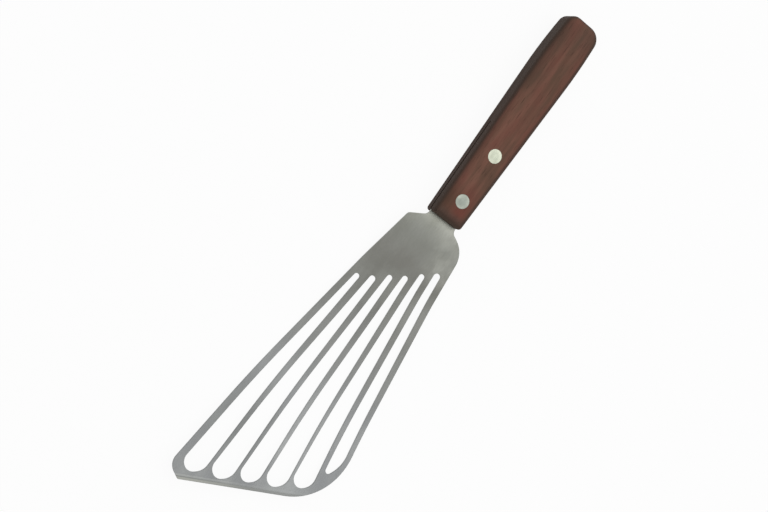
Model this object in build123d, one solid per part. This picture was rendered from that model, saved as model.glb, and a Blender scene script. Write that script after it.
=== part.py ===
from build123d import *
import math
import os

# Slotted fish spatula: a thin sprung steel blade with six long slots, whose tang is set in a saw cut
# in a wooden handle and held by two compression rivets. Each rivet is a hollow half from below and a
# solid half from above, pressed together.
#
# Lengths are in millimetres. While the pieces are made, the origin is the middle of the handle's front
# end, +X points to the blade's nose, +Y to the blade's short side and +Z to the face that carries food.
# At the end everything is laid down as it rests on a table.

# Handle
handle_length = 126.8
handle_thickness = 16.0
handle_front_width = 18.45
handle_straight_length = 92.0
handle_straight_width = 22.75
handle_butt_width = 20.2
handle_edge_radius = 3.75
handle_front_radius = 3.75
handle_front_corner_radius = 1.8
butt_left_corner_radius = 5.4
butt_right_corner_radius = 7.5

# Steel sheet of the blade, and its bends seen from the side
sheet_thickness = 1.2
heel_bend_at = 4.6
heel_bend_radius = 38.0
heel_drop = 3.6
flat_from = 39.2
flat_bend_radius = 95.0
front_bend_from_nose = 66.3
front_bend_radius = 257.0
nose_rise = 10.4

# Outline of the blade seen from above: its sides are straight lines through two stations, one at the
# heel and one near the front, where the widths to the left and the right of the axis are given
blade_reach = 185.4
heel_station = 43.6
heel_left = 23.2
heel_right = 25.0
front_station_from_nose = 36.8
front_left = 39.7
front_right = 39.6
neck_width = 17.2
neck_left_length = 2.4
neck_right_length = 2.3
neck_radius = 3.2
left_shoulder_at = 7.8
left_shoulder_radius = 2.3
right_shoulder_at = 7.4
right_shoulder_radius = 13.7
tip_corner_from_nose = 4.3
tip_corner_radius = 6.8
nose_from_axis = 36.9
nose_corner_radius = 0.9
round_corner_from_nose = 33.2
round_corner_radius = 33.9
bevel_width = 1.4
bevel_depth = 0.15

# Slots, from the long side to the short one. The first two shares place a slot's sides across the
# blade at the heel station, the next two at the front station, and the last one its start along the
# blade's reach. Its front end is given by how far it stays behind the nose.
slot_shares = (
    (0.069, 0.1317, 0.0459, 0.1802, 0.2617),
    (0.2128, 0.2903, 0.2075, 0.346, 0.2405),
    (0.3612, 0.4391, 0.3683, 0.5016, 0.2103),
    (0.5112, 0.599, 0.5246, 0.6697, 0.1861),
    (0.6673, 0.7603, 0.6871, 0.8349, 0.1542),
    (0.8275, 0.9278, 0.8647, 0.9705, 0.1267),
)
slot_ends_from_nose = (5.04, 10.09, 16.72, 22.51, 29.79, 46.05)
# A slot's ends, as shares of its own width there. The front end slants with the blade's front edge.
slot_top_radius_share = 0.45
slot_slant_share = 0.4
slot_left_radius_share = 0.41
slot_right_radius_share = 0.62
# The last slot's front end follows the blade's round corner.
last_slant_share = 0.7
last_left_radius_share = 0.24
last_right_radius_share = 2.2

# Tang and the saw cut that holds it
tang_length = 52.0
tang_corner_radius = 3.0
tang_fit = 0.05
saw_cut_spare = 4.0

# Compression rivets
front_rivet_from_end = 12.6
rear_rivet_from_end = 41.5
rivet_head_diameter = 7.6
rivet_head_thickness = 1.6
rivet_head_crown = 0.12
rivet_shank_diameter = 5.0
rivet_pin_diameter = 3.4
rivet_fit = 0.05
rivet_pin_fit = 0.02
rivet_half_gap = 0.4
tang_hole_fit = 0.15

# How far a cutting tool runs past the faces that it cuts
overrun = 5.0

half_sheet = sheet_thickness / 2
half_handle = handle_thickness / 2
front_bend_at = blade_reach - front_bend_from_nose
front_station = blade_reach - front_station_from_nose
tip_corner_at = blade_reach - tip_corner_from_nose
round_corner_at = blade_reach - round_corner_from_nose
nose_angle = math.atan2(nose_rise, front_bend_from_nose)
rivet_stations = {"front": front_rivet_from_end, "rear": rear_rivet_from_end}


def rounded_face(corners):
    """A flat face from a list of corners, each an x, a y and the radius that rounds it."""
    points = [(x, y) for x, y, radius in corners]
    radii = [radius for x, y, radius in corners]
    return make_face(FilletPolyline(points, radius=radii, close=True))


def across(x, heel_share, front_share):
    """The y of a line along the blade that divides its width by these shares at the two stations."""
    heel_y = heel_share * (heel_left + heel_right) - heel_left
    front_y = front_share * (front_left + front_right) - front_left
    return heel_y + (front_y - heel_y) * (x - heel_station) / (front_station - heel_station)


def bent_sheet():
    """The sheet before it is cut out: straight in the handle, down at the heel, flat, then up."""
    half_width = front_left + front_right
    end_x = blade_reach + overrun
    side_view = FilletPolyline(
        (-tang_length - overrun, 0),
        (heel_bend_at, 0),
        (flat_from, -heel_drop),
        (front_bend_at, -heel_drop),
        (end_x, -heel_drop + (end_x - front_bend_at) * math.tan(nose_angle)),
        radius=[heel_bend_radius, flat_bend_radius, front_bend_radius],
    )
    path = Plane.XZ * side_view
    across_path = Plane(path @ 0, x_dir=(0, 1, 0), z_dir=(1, 0, 0))
    return sweep(across_path * Rectangle(2 * half_width, sheet_thickness), path=path)


def blade_outline():
    """The blade and its tang seen from above, corner by corner from the tang round by the nose."""
    half_neck = neck_width / 2
    return rounded_face([
        (-tang_length, -half_neck, tang_corner_radius),
        (neck_left_length, -half_neck, neck_radius),
        (left_shoulder_at, across(left_shoulder_at, 0, 0), left_shoulder_radius),
        (tip_corner_at, across(tip_corner_at, 0, 0), tip_corner_radius),
        (blade_reach, -nose_from_axis, nose_corner_radius),
        (round_corner_at, across(round_corner_at, 1, 1), round_corner_radius),
        (right_shoulder_at, across(right_shoulder_at, 1, 1), right_shoulder_radius),
        (neck_right_length, half_neck, neck_radius),
        (-tang_length, half_neck, tang_corner_radius),
    ])


def slot_face(index, slant_share, left_radius_share, right_radius_share):
    """One slot seen from above: narrow and round at the heel, wide and slanted at the front."""
    heel_l, heel_r, front_l, front_r, start_share = slot_shares[index]
    start = start_share * blade_reach
    end = blade_reach - slot_ends_from_nose[index]
    start_width = across(start, heel_r, front_r) - across(start, heel_l, front_l)
    end_width = across(end, heel_r, front_r) - across(end, heel_l, front_l)
    left_end = end + slant_share * end_width
    right_end = end - slant_share * end_width
    return rounded_face([
        (start, across(start, heel_l, front_l), slot_top_radius_share * start_width),
        (left_end, across(left_end, heel_l, front_l), left_radius_share * end_width),
        (right_end, across(right_end, heel_r, front_r), right_radius_share * end_width),
        (start, across(start, heel_r, front_r), slot_top_radius_share * start_width),
    ])


def bevel_cutter():
    """A block whose lower face grinds the upper side of the straight front edge to a bevel."""
    facet = Plane(
        origin=(front_bend_at, 0, -heel_drop),
        x_dir=(math.cos(nose_angle), 0, math.sin(nose_angle)),
        z_dir=(-math.sin(nose_angle), 0, math.cos(nose_angle)),
    ).offset(half_sheet)
    corners = []
    for x, y in ((blade_reach, -nose_from_axis), (round_corner_at, across(round_corner_at, 1, 1))):
        corners.append(facet.from_local_coords(Vector((x - front_bend_at) / math.cos(nose_angle), y, 0)))
    edge = corners[1] - corners[0]
    along = Plane(corners[0], x_dir=edge, z_dir=facet.z_dir)
    tilt = math.degrees(math.atan2(bevel_depth, bevel_width))
    block = Box(
        edge.length + 2 * overrun,
        bevel_width + overrun,
        overrun,
        align=(Align.CENTER, Align.MAX, Align.MIN),
    )
    return along * Pos(edge.length / 2, bevel_width, 0) * Rot(tilt, 0, 0) * block


def make_blade():
    reach_up = nose_rise + heel_drop + overrun
    blade = bent_sheet() & extrude(blade_outline(), amount=reach_up, both=True)
    last = len(slot_shares) - 1
    for index in range(last):
        slot = slot_face(index, slot_slant_share, slot_left_radius_share, slot_right_radius_share)
        blade -= extrude(slot, amount=reach_up, both=True)
    slot = slot_face(last, last_slant_share, last_left_radius_share, last_right_radius_share)
    blade -= extrude(slot, amount=reach_up, both=True)
    blade -= bevel_cutter()
    for station in rivet_stations.values():
        hole_radius = rivet_shank_diameter / 2 + tang_hole_fit
        blade -= Pos(-station, 0, 0) * Cylinder(hole_radius, sheet_thickness + 2 * overrun)
    return blade


def handle_half_plan():
    """Half of the handle seen from above, from its centre line to one side."""
    front = Line((0, 0), (0, handle_front_width / 2))
    side = Line(front @ 1, (-handle_straight_length, handle_straight_width / 2))
    swell = TangentArc(side @ 1, (-handle_length, handle_butt_width / 2), tangent=side % 1)
    butt = Line(swell @ 1, (-handle_length, 0))
    middle = Line(butt @ 1, front @ 0)
    return make_face([front, side, swell, butt, middle])


def rivet_bores():
    """What is drilled through the handle for both rivets, with a flat seat for each head."""
    seat_depth = half_handle + overrun
    bores = []
    for station in rivet_stations.values():
        shank = Cylinder(rivet_shank_diameter / 2 + rivet_fit, handle_thickness + 2 * overrun)
        seat = Cylinder(
            rivet_head_diameter / 2 + rivet_fit,
            seat_depth,
            align=(Align.CENTER, Align.CENTER, Align.MIN),
        )
        upper = Pos(0, 0, half_handle - rivet_head_thickness) * seat
        lower = Rot(180, 0, 0) * upper
        bores.append(Pos(-station, 0, 0) * (shank + upper + lower))
    return bores


def front_easing():
    """The handle's side view, pulled through its width: the top and bottom of its front end are eased."""
    side_view = rounded_face([
        (-handle_length - overrun, -half_handle, overrun / 2),
        (0, -half_handle, handle_front_radius),
        (0, half_handle, handle_front_radius),
        (-handle_length - overrun, half_handle, overrun / 2),
    ])
    return extrude(Plane.XZ * side_view, amount=handle_straight_width, both=True)


def make_handle():
    half = handle_half_plan()
    body = extrude(half + mirror(half, about=Plane.XZ), amount=half_handle, both=True)
    for side, radius in ((0, butt_left_corner_radius), (-1, butt_right_corner_radius)):
        butt_corner = body.edges().filter_by(Axis.Z).group_by(Axis.X)[0].sort_by(Axis.Y)[side]
        body = fillet(butt_corner, radius)
    for side in (0, -1):
        rim = body.faces().sort_by(Axis.Z)[side].edges().group_by(Axis.X)[:-1]
        body = fillet([edge for group in rim for edge in group], handle_edge_radius)
    front_corners = body.edges().filter_by(Axis.Z).group_by(Axis.X)[-1]
    body = fillet(front_corners, handle_front_corner_radius)
    body &= front_easing()
    saw_cut = Box(
        tang_length + saw_cut_spare + overrun,
        handle_straight_width + 2 * overrun,
        sheet_thickness + 2 * tang_fit,
        align=(Align.MIN, Align.CENTER, Align.CENTER),
    )
    body -= Pos(-tang_length - saw_cut_spare, 0, 0) * saw_cut
    for bore in rivet_bores():
        body -= bore
    return body


def rivet_head():
    """A flat head with a slight crown, its rim level with the wood, for the upper side."""
    seat = half_handle - rivet_head_thickness
    head_radius = rivet_head_diameter / 2
    top = half_handle + rivet_head_crown
    crown = ThreePointArc((-head_radius, half_handle), (0, top), (head_radius, half_handle))
    rim = Polyline(crown @ 1, (head_radius, seat), (0, seat), (0, top))
    profile = make_face([crown.trim(0.5, 1), rim])
    return revolve(Plane.XZ * profile, Axis.Z)


def make_rivet_male():
    """The solid half, which goes in from above."""
    seat = half_handle - rivet_head_thickness
    length = 2 * seat - rivet_half_gap
    pin = Cylinder(rivet_pin_diameter / 2, length, align=(Align.CENTER, Align.CENTER, Align.MAX))
    return rivet_head() + Pos(0, 0, seat) * pin


def make_rivet_female():
    """The hollow half, which goes in from below and takes the other half's pin."""
    seat = half_handle - rivet_head_thickness
    length = 2 * seat - rivet_half_gap
    shank = Cylinder(rivet_shank_diameter / 2, length, align=(Align.CENTER, Align.CENTER, Align.MIN))
    bore = Cylinder(
        rivet_pin_diameter / 2 + rivet_pin_fit,
        length + overrun,
        align=(Align.CENTER, Align.CENTER, Align.MIN),
    )
    return Rot(180, 0, 0) * rivet_head() + Pos(0, 0, -seat) * (shank - bore)


def resting_lean():
    """The angle between the handle and a table, on which the handle's front edge and the blade rest.

    The table is the line that touches two arcs from below: the rounded lower front edge of the handle,
    and the underside of the blade where it starts to curve up.
    """
    front_edge = (-handle_front_radius, handle_front_radius - half_handle)
    bend_start = front_bend_at - front_bend_radius * math.tan(nose_angle / 2)
    bend_centre = (bend_start, front_bend_radius - heel_drop)
    run = bend_centre[0] - front_edge[0]
    rise = bend_centre[1] - front_edge[1]
    reach = math.hypot(run, rise)
    gain = front_bend_radius + half_sheet - handle_front_radius
    return math.degrees(math.atan2(rise, run) - math.asin(gain / reach))


def make_parts():
    parts = {"blade": make_blade(), "handle": make_handle()}
    for place, station in rivet_stations.items():
        parts["rivet_" + place + "_male"] = Pos(-station, 0, 0) * make_rivet_male()
        parts["rivet_" + place + "_female"] = Pos(-station, 0, 0) * make_rivet_female()
    return parts


def lay_down(parts):
    """Turns the tool as it rests, with the origin on the table below the middle of its box."""
    lean = Rot(0, resting_lean(), 0)
    leaning = {name: lean * piece for name, piece in parts.items()}
    box = Compound(list(leaning.values())).bounding_box()
    place = Pos(-box.center().X, -box.center().Y, -box.min.Z)
    return {name: place * piece for name, piece in leaning.items()}


os.makedirs("parts", exist_ok=True)
for name, piece in lay_down(make_parts()).items():
    export_step(piece, "parts/" + name + ".step")
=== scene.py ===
import math

import bmesh
import bpy
from mathutils import Euler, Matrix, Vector

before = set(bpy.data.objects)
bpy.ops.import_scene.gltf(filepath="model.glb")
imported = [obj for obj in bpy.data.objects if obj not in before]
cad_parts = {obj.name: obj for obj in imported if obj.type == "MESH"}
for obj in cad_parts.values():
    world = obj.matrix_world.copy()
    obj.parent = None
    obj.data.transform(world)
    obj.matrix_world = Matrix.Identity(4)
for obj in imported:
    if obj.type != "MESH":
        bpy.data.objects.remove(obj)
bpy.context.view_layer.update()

MM = 0.001

# How far the blade reaches past the handle, in millimetres
BLADE_REACH = 185.4

# The way that the oblique nose faces along the sheet, and how far out that way it stands, in
# millimetres from the middle of the handle's front end
NOSE_FACES = (0.917, 0.398, 0)
NOSE_STANDS = 155.3

# How far each rivet is from the handle's front end, in millimetres
FRONT_RIVET = 12.6
REAR_RIVET = 41.5

# How the tool lies: the CAD model was made with its origin in the middle of the handle's front end
# and its X axis along the handle, then leaned nose down and moved to here. Patterns follow that
# tool axis.
TOOL_ORIGIN = (-29.284 * MM, 3.639 * MM, 7.865 * MM)
TOOL_LEAN = math.radians(2.0281)

# Where the photograph was taken from, in metres, and which way it looks, in degrees
CAMERA_PLACE = (119.941 * MM, -326.099 * MM, 873.248 * MM)
CAMERA_TURN = (-6.16287, -20.30175, 127.44102)

# The floor's radius, and the middle of the soft box, in metres
FLOOR_RADIUS = 6.0
SOFT_BOX_PLACE = (-0.65, 0.25, 1.25)

# A colour Mix node has its share and its two colours on these inputs, and its result on this output.
SHARE, FIRST, SECOND = 0, 6, 7
MIXED = 2

# Settings that several nodes share: to mix colours, to ease a range at both of its ends, and how many
# rays round off a sharp edge
COLOUR = {"data_type": "RGBA"}
SMOOTH = {"interpolation_type": "SMOOTHSTEP"}
SOFT_EDGE = {"samples": 6}


def linear(hex_colour):
    """An sRGB colour written as hex, turned to the linear values that shaders use."""
    channels = [int(hex_colour[i:i + 2], 16) / 255 for i in (1, 3, 5)]
    return tuple(c / 12.92 if c <= 0.04045 else ((c + 0.055) / 1.055) ** 2.4 for c in channels) + (1.0,)


def add(tree, kind, settings=None, inputs=None):
    """Adds a node with its settings, and with a value or another node's output on its inputs."""
    new = tree.nodes.new(kind)
    for name, value in (settings or {}).items():
        setattr(new, name, value)
    for name, value in (inputs or {}).items():
        if isinstance(value, bpy.types.NodeSocket):
            tree.links.new(value, new.inputs[name])
        else:
            new.inputs[name].default_value = value
    return new


def new_material(name):
    """An empty material, its shader, and millimetres along the tool's own axes."""
    material = bpy.data.materials.new(name)
    material.use_nodes = True
    tree = material.node_tree
    tree.nodes.clear()
    shader = add(tree, "ShaderNodeBsdfPrincipled")
    add(tree, "ShaderNodeOutputMaterial", inputs={"Surface": shader.outputs["BSDF"]})
    coordinates = add(tree, "ShaderNodeTexCoord")
    millimetres = add(tree, "ShaderNodeMapping", {"vector_type": "TEXTURE"}, {
        "Vector": coordinates.outputs["Object"],
        "Location": TOOL_ORIGIN,
        "Rotation": (0, TOOL_LEAN, 0),
        "Scale": (MM, MM, MM),
    })
    return material, tree, shader, millimetres.outputs["Vector"]


def satin_stainless_steel():
    """Cold rolled stainless sheet, tumbled after it was cut out, with a ground front edge.

    It gives the eye a soft grey sheen with cloudy lighter and darker places, painted light and shade
    along its length, cooler towards the nose, painted highlights by the neck, a faint grain along the
    sheet, edges whose sharpness was tumbled off, and a paler ground band along the nose, partly painted
    highlight, with a darker line behind it.
    """
    material, tree, shader, at = new_material("satin_stainless_steel")
    axes = add(tree, "ShaderNodeSeparateXYZ", inputs={"Vector": at})

    # The sheet's tone along its length is painted light and shade: palest at the neck, darkest where
    # the slots start, and clear grey along the fingers. The ramp's own two ends are at the handle and
    # the nose, and each station between them is so many millimetres from the handle.
    along = add(tree, "ShaderNodeMapRange", inputs={
        "Value": axes.outputs["X"],
        "From Max": BLADE_REACH,
    })
    painted_tone = add(tree, "ShaderNodeValToRGB", inputs={"Fac": along.outputs["Result"]})
    painted_tone.color_ramp.interpolation = "B_SPLINE"
    painted_tone.color_ramp.elements[0].color = linear("#939489")
    painted_tone.color_ramp.elements[1].color = linear("#868889")
    for station, hex_colour in (
        (8, "#989991"),
        (12, "#8A8B84"),
        (18, "#84857E"),
        (27, "#807F79"),
        (38, "#7C7C76"),
        (48, "#6B6B66"),
        (60, "#6F706C"),
        (73, "#818280"),
        (90, "#8A8B89"),
        (102, "#8F9191"),
        (115, "#919394"),
        (130, "#8A8C8D"),
        (150, "#848688"),
        (170, "#858788"),
    ):
        painted_tone.color_ramp.elements.new(station / BLADE_REACH).color = linear(hex_colour)

    # Clouds from rolling and tumbling, about 22 mm long and 13 mm wide. Here and further on, a noise's
    # Location only slides its pattern along, to fall about as it does in the photograph.
    cloud_place = add(tree, "ShaderNodeMapping", inputs={
        "Vector": at,
        "Location": (3.1, 0.4, 0),
        "Scale": (1 / 22, 1 / 13, 1 / 13),
    })
    clouds = add(tree, "ShaderNodeTexNoise", inputs={
        "Vector": cloud_place.outputs["Vector"],
        "Scale": 1.0,
        "Detail": 3.0,
        "Roughness": 0.55,
    })
    cloud_share = add(tree, "ShaderNodeMapRange", SMOOTH, {
        "Value": clouds.outputs["Fac"],
        "From Min": 0.3,
        "From Max": 0.7,
        "To Max": 0.25,
    })
    colour = add(tree, "ShaderNodeMix", COLOUR, {
        SHARE: cloud_share.outputs["Result"],
        FIRST: painted_tone.outputs["Color"],
        SECOND: linear("#9C9E9A"),
    })

    # A duller place on the long side's fingers near the front, and paler ones by the round shoulder,
    # on the short side's fingers and on the middle ones. Each has its middle, how far it spreads and
    # how strong it is, as the patches and spots further on have.
    for x, y, spread, strength, hex_colour in (
        (144, -25, 38, 0.85, "#727473"),
        (55, 25, 30, 0.45, "#9A9B96"),
        (162, 18, 22, 0.4, "#9A9D9D"),
        (127, 1, 15, 0.4, "#A6A8A7"),
        (144, 1, 16, 0.6, "#A6A8A7"),
    ):
        reach = add(tree, "ShaderNodeVectorMath", {"operation": "DISTANCE"}, {0: at, 1: (x, y, 0)})
        place_share = add(tree, "ShaderNodeMapRange", SMOOTH, {
            "Value": reach.outputs["Value"],
            "From Min": spread,
            "From Max": 0.0,
            "To Max": strength,
        })
        colour = add(tree, "ShaderNodeMix", COLOUR, {
            SHARE: place_share.outputs["Result"],
            FIRST: colour.outputs[MIXED],
            SECOND: linear(hex_colour),
        })

    # Painted highlights by the neck and on the round shoulder, broken up by finer clouds
    ragged_place = add(tree, "ShaderNodeMapping", inputs={
        "Vector": at,
        "Location": (0.7, 2.9, 0),
        "Scale": (1 / 6, 1 / 5, 1 / 5),
    })
    ragged = add(tree, "ShaderNodeTexNoise", inputs={
        "Vector": ragged_place.outputs["Vector"],
        "Scale": 1.0,
        "Detail": 2.0,
        "Roughness": 0.5,
    })
    ragged_share = add(tree, "ShaderNodeMapRange", SMOOTH, {
        "Value": ragged.outputs["Fac"],
        "From Min": 0.35,
        "From Max": 0.6,
        "To Min": 0.55,
        "To Max": 1.0,
    })
    glint = 0.0
    for x, y, spread, strength in (
        (6, 8, 12, 0.7),
        (12, 20, 14, 0.4),
        (21, 17, 15, 0.8),
        (3, -8, 6, 0.5),
    ):
        reach = add(tree, "ShaderNodeVectorMath", {"operation": "DISTANCE"}, {0: at, 1: (x, y, -1)})
        patch = add(tree, "ShaderNodeMapRange", SMOOTH, {
            "Value": reach.outputs["Value"],
            "From Min": spread,
            "From Max": 0.0,
            "To Max": strength,
        })
        glint = add(tree, "ShaderNodeMath", {"operation": "MAXIMUM"}, {
            0: glint,
            1: patch.outputs["Result"],
        }).outputs["Value"]
    glint_share = add(tree, "ShaderNodeMath", {"operation": "MULTIPLY"}, {
        0: glint,
        1: ragged_share.outputs["Result"],
    })
    colour = add(tree, "ShaderNodeMix", COLOUR, {
        SHARE: glint_share.outputs["Value"],
        FIRST: colour.outputs[MIXED],
        SECOND: linear("#ACADA5"),
    })

    # The real grain is about 0.05 mm wide. It is drawn at 0.3 mm so that it shows in the render.
    grain_place = add(tree, "ShaderNodeMapping", inputs={
        "Vector": at,
        "Scale": (1 / 30, 1 / 0.3, 1 / 0.3),
    })
    grain = add(tree, "ShaderNodeTexNoise", inputs={
        "Vector": grain_place.outputs["Vector"],
        "Scale": 1.0,
        "Detail": 2.0,
        "Roughness": 0.6,
    })
    grain_share = add(tree, "ShaderNodeMapRange", SMOOTH, {
        "Value": grain.outputs["Fac"],
        "From Min": 0.3,
        "From Max": 0.7,
        "To Max": 0.22,
    })
    colour = add(tree, "ShaderNodeMix", COLOUR, {
        SHARE: grain_share.outputs["Result"],
        FIRST: colour.outputs[MIXED],
        SECOND: linear("#70716C"),
    })

    # A ground band 1.4 mm wide runs along the nose, its paler colour partly painted highlight on its
    # tilted face, with a scored line and then a burr behind it. They show most at the long side, where
    # the wheel cut deepest. Each starts so many millimetres behind the nose and lasts to the next.
    across = add(tree, "ShaderNodeVectorMath", {"operation": "DOT_PRODUCT"}, {0: at, 1: NOSE_FACES})
    long_side_share = add(tree, "ShaderNodeMapRange", SMOOTH, {
        "Value": axes.outputs["Y"],
        "From Min": 10.0,
        "From Max": -36.0,
        "To Min": 0.2,
        "To Max": 1.0,
    })
    line_edge = 0.3
    for behind, hex_colour, strength in (
        (2.8, "#A2A4A0", 0.4),
        (2.0, "#6A6C69", 0.5),
        (1.4, "#AEAFA8", 0.75),
    ):
        band = add(tree, "ShaderNodeMapRange", SMOOTH, {
            "Value": across.outputs["Value"],
            "From Min": NOSE_STANDS - behind,
            "From Max": NOSE_STANDS - behind + line_edge,
            "To Max": strength,
        })
        band_share = add(tree, "ShaderNodeMath", {"operation": "MULTIPLY"}, {
            0: band.outputs["Result"],
            1: long_side_share.outputs["Result"],
        })
        colour = add(tree, "ShaderNodeMix", COLOUR, {
            SHARE: band_share.outputs["Value"],
            FIRST: colour.outputs[MIXED],
            SECOND: linear(hex_colour),
        })
    tree.links.new(colour.outputs[MIXED], shader.inputs["Base Color"])

    # Paler clouds are also a little smoother.
    shader.inputs["Metallic"].default_value = 1.0
    roughness = add(tree, "ShaderNodeMapRange", SMOOTH, {
        "Value": clouds.outputs["Fac"],
        "From Min": 0.3,
        "From Max": 0.7,
        "To Min": 0.41,
        "To Max": 0.34,
    })
    tree.links.new(roughness.outputs["Result"], shader.inputs["Roughness"])
    edges = add(tree, "ShaderNodeBevel", SOFT_EDGE, {"Radius": 0.25 * MM})
    bump = add(tree, "ShaderNodeBump", inputs={
        "Height": grain.outputs["Fac"],
        "Strength": 0.2,
        "Distance": 0.02 * MM,
        "Normal": edges.outputs["Normal"],
    })
    tree.links.new(bump.outputs["Normal"], shader.inputs["Normal"])
    return material


def waxed_rosewood():
    """Reddish brown rosewood, sanded fine and waxed.

    It gives the eye streaks along the handle, redder and more olive patches, short dark pores,
    painted shade on the sides, the short side's rounded edge and the saw cut, a paler painted end face,
    and a soaked front end.
    """
    material, tree, shader, at = new_material("waxed_rosewood")

    # Growth rings cut lengthwise: streaks about 60 mm long and 2.6 mm apart
    streak_place = add(tree, "ShaderNodeMapping", inputs={
        "Vector": at,
        "Location": (0, 1.7, 0.3),
        "Scale": (1 / 60, 1 / 2.6, 1 / 2.6),
    })
    streaks = add(tree, "ShaderNodeTexNoise", inputs={
        "Vector": streak_place.outputs["Vector"],
        "Scale": 1.0,
        "Detail": 3.0,
        "Roughness": 0.6,
    })
    streak_share = add(tree, "ShaderNodeMapRange", SMOOTH, {
        "Value": streaks.outputs["Fac"],
        "From Min": 0.28,
        "From Max": 0.72,
    })
    colour = add(tree, "ShaderNodeMix", COLOUR, {
        SHARE: streak_share.outputs["Result"],
        FIRST: linear("#66493D"),
        SECOND: linear("#7A5649"),
    })

    # Redder and more olive patches, about 30 mm long and 8 mm wide. The redder ones are where the noise
    # is high, and the olive ones where it is low.
    patch_place = add(tree, "ShaderNodeMapping", inputs={
        "Vector": at,
        "Location": (2.4, 0.2, 0),
        "Scale": (1 / 30, 1 / 8, 1 / 8),
    })
    patches = add(tree, "ShaderNodeTexNoise", inputs={
        "Vector": patch_place.outputs["Vector"],
        "Scale": 1.0,
        "Detail": 2.0,
        "Roughness": 0.5,
    })
    for starts, full, hex_colour in ((0.45, 0.65, "#71463D"), (0.5, 0.3, "#5A483B")):
        patch_share = add(tree, "ShaderNodeMapRange", SMOOTH, {
            "Value": patches.outputs["Fac"],
            "From Min": starts,
            "From Max": full,
            "To Max": 0.55,
        })
        colour = add(tree, "ShaderNodeMix", COLOUR, {
            SHARE: patch_share.outputs["Result"],
            FIRST: colour.outputs[MIXED],
            SECOND: linear(hex_colour),
        })

    # The redder heart of the plank shows at the front end, beside a darker olive place on the long
    # side, partly the wood's colour and partly painted shade along that side. Another darkens that side
    # near the butt the same way, and the butt end is olive too. Each spot is longer along the grain
    # than across it, so a millimetre along the grain counts for less.
    lengthwise = 0.6
    for x, y, spread, strength, hex_colour in (
        (-7, 1, 12, 0.65, "#6E4037"),
        (-9, -7, 9, 0.6, "#483B2F"),
        (-90, -12, 13, 0.65, "#453930"),
        (-112, -12, 13, 0.7, "#453930"),
        (-122, 4, 12, 0.55, "#53453B"),
    ):
        from_spot = add(tree, "ShaderNodeMapping", inputs={
            "Vector": at,
            "Location": (-lengthwise * x, -y, 0),
            "Scale": (lengthwise, 1, 0),
        })
        reach = add(tree, "ShaderNodeVectorMath", {"operation": "LENGTH"}, {
            0: from_spot.outputs["Vector"],
        })
        spot_share = add(tree, "ShaderNodeMapRange", SMOOTH, {
            "Value": reach.outputs["Value"],
            "From Min": spread,
            "From Max": 0.0,
            "To Max": strength,
        })
        colour = add(tree, "ShaderNodeMix", COLOUR, {
            SHARE: spot_share.outputs["Result"],
            FIRST: colour.outputs[MIXED],
            SECOND: linear(hex_colour),
        })

    # The front end is darker and less red, where wax has soaked into the end grain.
    axes = add(tree, "ShaderNodeSeparateXYZ", inputs={"Vector": at})
    soaked = add(tree, "ShaderNodeMapRange", SMOOTH, {
        "Value": axes.outputs["X"],
        "From Min": -7.0,
        "From Max": -2.0,
        "To Max": 0.8,
    })
    colour = add(tree, "ShaderNodeMix", COLOUR, {
        SHARE: soaked.outputs["Result"],
        FIRST: colour.outputs[MIXED],
        SECOND: linear("#54453D"),
    })

    # Pores are about 0.15 mm wide on the real wood. They are drawn at 0.35 mm so that they show.
    pore_place = add(tree, "ShaderNodeMapping", inputs={
        "Vector": at,
        "Location": (0, 4, 2),
        "Scale": (1 / 7, 1 / 0.35, 1 / 0.35),
    })
    pores = add(tree, "ShaderNodeTexNoise", inputs={
        "Vector": pore_place.outputs["Vector"],
        "Scale": 1.0,
        "Detail": 1.0,
        "Roughness": 0.4,
    })
    pore_share = add(tree, "ShaderNodeMapRange", SMOOTH, {
        "Value": pores.outputs["Fac"],
        "From Min": 0.62,
        "From Max": 0.74,
        "To Max": 0.5,
    })
    colour = add(tree, "ShaderNodeMix", COLOUR, {
        SHARE: pore_share.outputs["Result"],
        FIRST: colour.outputs[MIXED],
        SECOND: linear("#33241F"),
    })

    # Painted shade on the sides, and on the rounded edge above the one on the short side, where the
    # normals turn away from the light. The saw cut at mid thickness takes the same painted shade,
    # though its faces point up and down.
    surface = add(tree, "ShaderNodeNewGeometry")
    facing = add(tree, "ShaderNodeSeparateXYZ", inputs={"Vector": surface.outputs["Normal"]})
    upright = add(tree, "ShaderNodeMath", {"operation": "ABSOLUTE"}, {0: facing.outputs["Z"]})
    side_shade = add(tree, "ShaderNodeMapRange", SMOOTH, {
        "Value": upright.outputs["Value"],
        "From Min": 1.0,
        "From Max": 0.4,
        "To Max": 0.95,
    })
    short_edge_shade = add(tree, "ShaderNodeMapRange", SMOOTH, {
        "Value": facing.outputs["Y"],
        "From Max": 0.5,
        "To Max": 0.8,
    })
    height = add(tree, "ShaderNodeMath", {"operation": "ABSOLUTE"}, {0: axes.outputs["Z"]})
    mid_height = add(tree, "ShaderNodeMapRange", SMOOTH, {
        "Value": height.outputs["Value"],
        "From Min": 0.9,
        "From Max": 0.7,
    })
    saw_cut_shade = add(tree, "ShaderNodeMath", {"operation": "MULTIPLY"}, {
        0: mid_height.outputs["Result"],
        1: upright.outputs["Value"],
    })
    painted_shade = 0.0
    for shade_place in (
        side_shade.outputs["Result"],
        short_edge_shade.outputs["Result"],
        saw_cut_shade.outputs["Value"],
    ):
        painted_shade = add(tree, "ShaderNodeMath", {"operation": "MAXIMUM"}, {
            0: painted_shade,
            1: shade_place,
        }).outputs["Value"]
    colour = add(tree, "ShaderNodeMix", COLOUR, {
        SHARE: painted_shade,
        FIRST: colour.outputs[MIXED],
        SECOND: linear("#443831"),
    })

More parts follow.
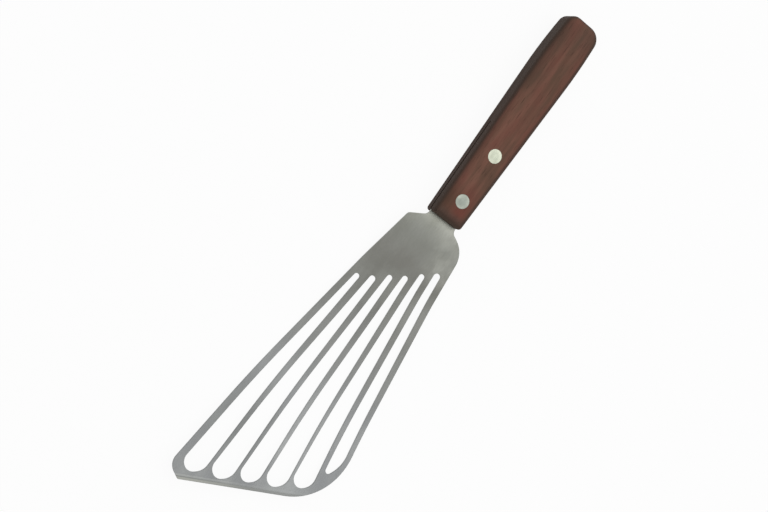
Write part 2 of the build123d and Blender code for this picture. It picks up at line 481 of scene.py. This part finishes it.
    # The end face at the front is painted a little paler than the sides: painted light on that face.
    end_face_light = add(tree, "ShaderNodeMapRange", SMOOTH, {
        "Value": facing.outputs["X"],
        "From Min": 0.6,
        "From Max": 0.95,
    })
    colour = add(tree, "ShaderNodeMix", COLOUR, {
        SHARE: end_face_light.outputs["Result"],
        FIRST: colour.outputs[MIXED],
        SECOND: linear("#5C4D44"),
    })
    tree.links.new(colour.outputs[MIXED], shader.inputs["Base Color"])

    # Wax leaves little gloss, and paler streaks are rougher. Pores are sunk into the surface.
    roughness = add(tree, "ShaderNodeMapRange", SMOOTH, {
        "Value": streaks.outputs["Fac"],
        "From Min": 0.3,
        "From Max": 0.7,
        "To Min": 0.52,
        "To Max": 0.64,
    })
    tree.links.new(roughness.outputs["Result"], shader.inputs["Roughness"])
    shader.inputs["IOR"].default_value = 1.5
    shader.inputs["Specular IOR Level"].default_value = 0.05
    relief = add(tree, "ShaderNodeMath", {"operation": "SUBTRACT"}, {
        0: streaks.outputs["Fac"],
        1: pore_share.outputs["Result"],
    })
    bump = add(tree, "ShaderNodeBump", inputs={
        "Height": relief.outputs["Value"],
        "Strength": 0.5,
        "Distance": 0.06 * MM,
    })
    tree.links.new(bump.outputs["Normal"], shader.inputs["Normal"])
    return material


def ground_rivet_metal(name, rim, middle, roughness, station):
    """Nickel silver rivet, ground level with the wood and buffed.

    It gives the eye a pale disc with fine scratches from the belt and a slightly dull middle.
    """
    material, tree, shader, at = new_material(name)

    # The dull middle of the head is about 5 mm across, and cloudy.
    from_pin = add(tree, "ShaderNodeMapping", inputs={
        "Vector": at,
        "Location": (station, 0, 0),
        "Scale": (1, 1, 0),
    })
    radius = add(tree, "ShaderNodeVectorMath", {"operation": "LENGTH"}, {0: from_pin.outputs["Vector"]})
    rim_share = add(tree, "ShaderNodeMapRange", SMOOTH, {
        "Value": radius.outputs["Value"],
        "From Min": 1.4,
        "From Max": 3.4,
    })
    colour = add(tree, "ShaderNodeMix", COLOUR, {
        SHARE: rim_share.outputs["Result"],
        FIRST: linear(middle),
        SECOND: linear(rim),
    })
    cloud_place = add(tree, "ShaderNodeMapping", inputs={
        "Vector": at,
        "Location": (1.3, 0, 0),
        "Scale": (1 / 3.5, 1 / 3, 1 / 3),
    })
    clouds = add(tree, "ShaderNodeTexNoise", inputs={
        "Vector": cloud_place.outputs["Vector"],
        "Scale": 1.0,
        "Detail": 2.0,
        "Roughness": 0.5,
    })
    cloud_share = add(tree, "ShaderNodeMapRange", SMOOTH, {
        "Value": clouds.outputs["Fac"],
        "From Min": 0.4,
        "From Max": 0.65,
        "To Max": 0.35,
    })
    colour = add(tree, "ShaderNodeMix", COLOUR, {
        SHARE: cloud_share.outputs["Result"],
        FIRST: colour.outputs[MIXED],
        SECOND: linear(middle),
    })

    # Belt scratches are about 0.05 mm apart. They are drawn at 0.25 mm so that they show.
    scratch_place = add(tree, "ShaderNodeMapping", inputs={
        "Vector": at,
        "Location": (0, 3, 0),
        "Scale": (1 / 12, 1 / 0.25, 1 / 0.25),
    })
    scratches = add(tree, "ShaderNodeTexNoise", inputs={
        "Vector": scratch_place.outputs["Vector"],
        "Scale": 1.0,
        "Detail": 2.0,
        "Roughness": 0.6,
    })
    scratch_share = add(tree, "ShaderNodeMapRange", SMOOTH, {
        "Value": scratches.outputs["Fac"],
        "From Min": 0.5,
        "From Max": 0.7,
        "To Max": 0.25,
    })
    colour = add(tree, "ShaderNodeMix", COLOUR, {
        SHARE: scratch_share.outputs["Result"],
        FIRST: colour.outputs[MIXED],
        SECOND: linear("#8E9088"),
    })
    tree.links.new(colour.outputs[MIXED], shader.inputs["Base Color"])

    shader.inputs["Metallic"].default_value = 1.0
    dulling = add(tree, "ShaderNodeMapRange", SMOOTH, {
        "Value": clouds.outputs["Fac"],
        "From Min": 0.35,
        "From Max": 0.65,
        "To Min": roughness,
        "To Max": roughness + 0.1,
    })
    tree.links.new(dulling.outputs["Result"], shader.inputs["Roughness"])
    edges = add(tree, "ShaderNodeBevel", SOFT_EDGE, {"Radius": 0.15 * MM})
    bump = add(tree, "ShaderNodeBump", inputs={
        "Height": scratches.outputs["Fac"],
        "Strength": 0.3,
        "Distance": 0.02 * MM,
        "Normal": edges.outputs["Normal"],
    })
    tree.links.new(bump.outputs["Normal"], shader.inputs["Normal"])
    return material


def dress(node_name, material):
    """Puts a material on a CAD node, in place of those it came with."""
    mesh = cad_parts[node_name].data
    mesh.materials.clear()
    mesh.materials.append(material)


def make_camera():
    """The camera where the photograph was taken from, with the handle to the upper right."""
    lens = bpy.data.cameras.new("camera")
    lens.lens = 85.0
    lens.sensor_width = 36.0
    lens.clip_start = 0.05
    camera = bpy.data.objects.new("camera", lens)
    camera.location = CAMERA_PLACE
    camera.rotation_euler = Euler([math.radians(angle) for angle in CAMERA_TURN])
    bpy.context.scene.collection.objects.link(camera)
    bpy.context.scene.camera = camera


def make_floor():
    """A wide pale floor that looks white to the camera and in the metal, and takes a faint shadow."""
    shape = bmesh.new()
    bmesh.ops.create_circle(shape, cap_ends=True, segments=96, radius=FLOOR_RADIUS)
    mesh = bpy.data.meshes.new("floor")
    shape.to_mesh(mesh)
    shape.free()
    floor = bpy.data.objects.new("floor", mesh)
    bpy.context.scene.collection.objects.link(floor)
    material = bpy.data.materials.new("pale_paper_floor")
    material.use_nodes = True
    tree = material.node_tree
    tree.nodes.clear()
    paper = add(tree, "ShaderNodeBsdfDiffuse", inputs={"Color": linear("#EDEDED")})
    white = add(tree, "ShaderNodeEmission", inputs={"Color": linear("#FFFFFF"), "Strength": 1.0})
    path = add(tree, "ShaderNodeLightPath")
    seen = 0.0
    for ray in ("Is Camera Ray", "Is Glossy Ray", "Is Transmission Ray"):
        seen = add(tree, "ShaderNodeMath", {"operation": "MAXIMUM"}, {
            0: seen,
            1: path.outputs[ray],
        }).outputs["Value"]

    # White takes this share, and the rest is left to the lit paper, so that the shadow shows.
    whiteness = 0.93
    white_share = add(tree, "ShaderNodeMath", {"operation": "MULTIPLY"}, {0: seen, 1: whiteness})
    surface = add(tree, "ShaderNodeMixShader", inputs={
        0: white_share.outputs["Value"],
        1: paper.outputs["BSDF"],
        2: white.outputs["Emission"],
    })
    add(tree, "ShaderNodeOutputMaterial", inputs={"Surface": surface.outputs["Shader"]})
    mesh.materials.append(material)


def make_light():
    """A pale room that is brighter overhead and beyond the handle, and a soft box on that side."""
    world = bpy.data.worlds.new("pale_room")
    world.use_nodes = True
    bpy.context.scene.world = world
    tree = world.node_tree
    tree.nodes.clear()
    way = add(tree, "ShaderNodeTexCoord")
    brightest = Vector((-0.35, 0.05, 0.93)).normalized()
    upward = add(tree, "ShaderNodeVectorMath", {"operation": "DOT_PRODUCT"}, {
        0: way.outputs["Generated"],
        1: brightest,
    })
    level = add(tree, "ShaderNodeMapRange", inputs={
        "Value": upward.outputs["Value"],
        "To Min": 0.25,
        "To Max": 1.05,
    })
    room = add(tree, "ShaderNodeBackground", inputs={
        "Color": linear("#FFFFFF"),
        "Strength": level.outputs["Result"],
    })
    white = add(tree, "ShaderNodeBackground", inputs={"Color": linear("#FFFFFF"), "Strength": 1.0})
    path = add(tree, "ShaderNodeLightPath")
    surface = add(tree, "ShaderNodeMixShader", inputs={
        0: path.outputs["Is Camera Ray"],
        1: room.outputs["Background"],
        2: white.outputs["Background"],
    })
    add(tree, "ShaderNodeOutputWorld", inputs={"Surface": surface.outputs["Shader"]})

    # The soft box is 1.3 m by 1 m, gives 3.6 W and faces the tool.
    box = bpy.data.lights.new("soft_box", "AREA")
    box.shape = "RECTANGLE"
    box.size = 1.3
    box.size_y = 1.0
    box.energy = 3.6
    lamp = bpy.data.objects.new("soft_box", box)
    lamp.location = SOFT_BOX_PLACE
    lamp.rotation_euler = (-lamp.location).to_track_quat("-Z", "Y").to_euler()
    bpy.context.scene.collection.objects.link(lamp)


make_camera()
make_floor()
make_light()

dress("blade", satin_stainless_steel())
dress("handle", waxed_rosewood())
# The two rivets are one metal: the rear one's paler colour is a painted reflection, and the front one's
# greyer colour a painted shade.
rivets = {
    "front": ground_rivet_metal("dull_nickel_silver_painted_shade", "#AAAFA4", "#979D94", 0.42, FRONT_RIVET),
    "rear": ground_rivet_metal("buffed_nickel_silver_painted_reflection", "#C4C8B6", "#BCC1AF", 0.36, REAR_RIVET),
}
for place, metal in rivets.items():
    for half in ("male", "female"):
        dress("rivet_" + place + "_" + half, metal)

bpy.context.scene.view_settings.view_transform = "Standard"
